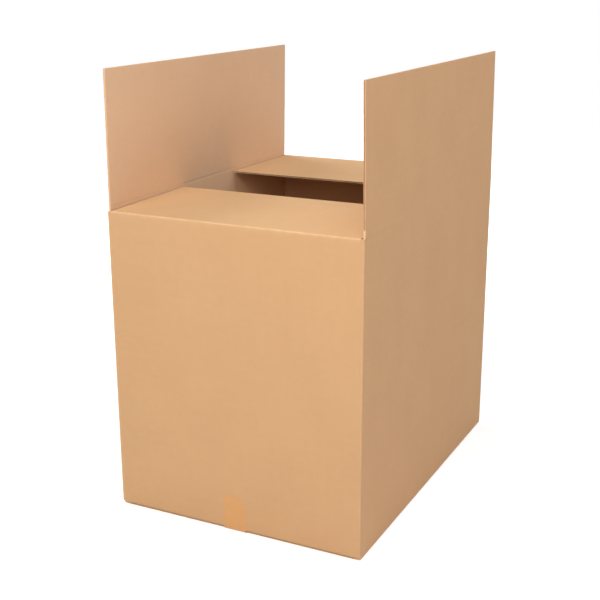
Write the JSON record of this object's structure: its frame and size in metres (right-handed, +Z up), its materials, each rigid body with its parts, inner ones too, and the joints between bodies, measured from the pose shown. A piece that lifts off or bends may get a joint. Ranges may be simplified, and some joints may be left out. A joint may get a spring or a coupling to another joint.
{
  "type": "open cardboard box",
  "caption": "Open regular slotted carton in corrugated board: short top flaps folded in, long top flaps standing up, bottom flaps closed with tape.",
  "frame": {"origin": "centre of the bottom, at the level of the tape's underside, which the box rests on", "axes": "+X across the box from the left wall to the right wall, +Y from the front wall to the back wall, +Z up"},
  "size_m": [0.5584, 0.7706, 0.928],
  "materials": {
    "kraft_board": "matte",
    "packing_tape": "gloss"
  },
  "bodies": {
    "box": {"box_body": "kraft_board", "bottom_tape": "packing_tape"},
    "front_flap": {"front_flap": "kraft_board"},
    "back_flap": {"back_flap": "kraft_board"},
    "left_flap": {"left_flap": "kraft_board"},
    "right_flap": {"right_flap": "kraft_board"}
  },
  "joints": [
    {"name": "front_flap_crease", "type": "hinge", "parent": "box", "child": "front_flap", "pos_m": [0, -0.38535, 0.64815], "axis": [1, 0, 0], "range_deg": [-0.5, 269.5]},
    {"name": "back_flap_crease", "type": "hinge", "parent": "box", "child": "back_flap", "pos_m": [0, 0.38535, 0.64815], "axis": [-1, 0, 0], "range_deg": [-0.3, 269.7]},
    {"name": "left_flap_crease", "type": "hinge", "parent": "box", "child": "left_flap", "pos_m": [-0.27935, 0, 0.65503], "axis": [0, -1, 0], "range_deg": [-89.25, 179.5]},
    {"name": "right_flap_crease", "type": "hinge", "parent": "box", "child": "right_flap", "pos_m": [0.27935, 0, 0.65503], "axis": [0, 1, 0], "range_deg": [-89.25, 179.5]}
  ]
}
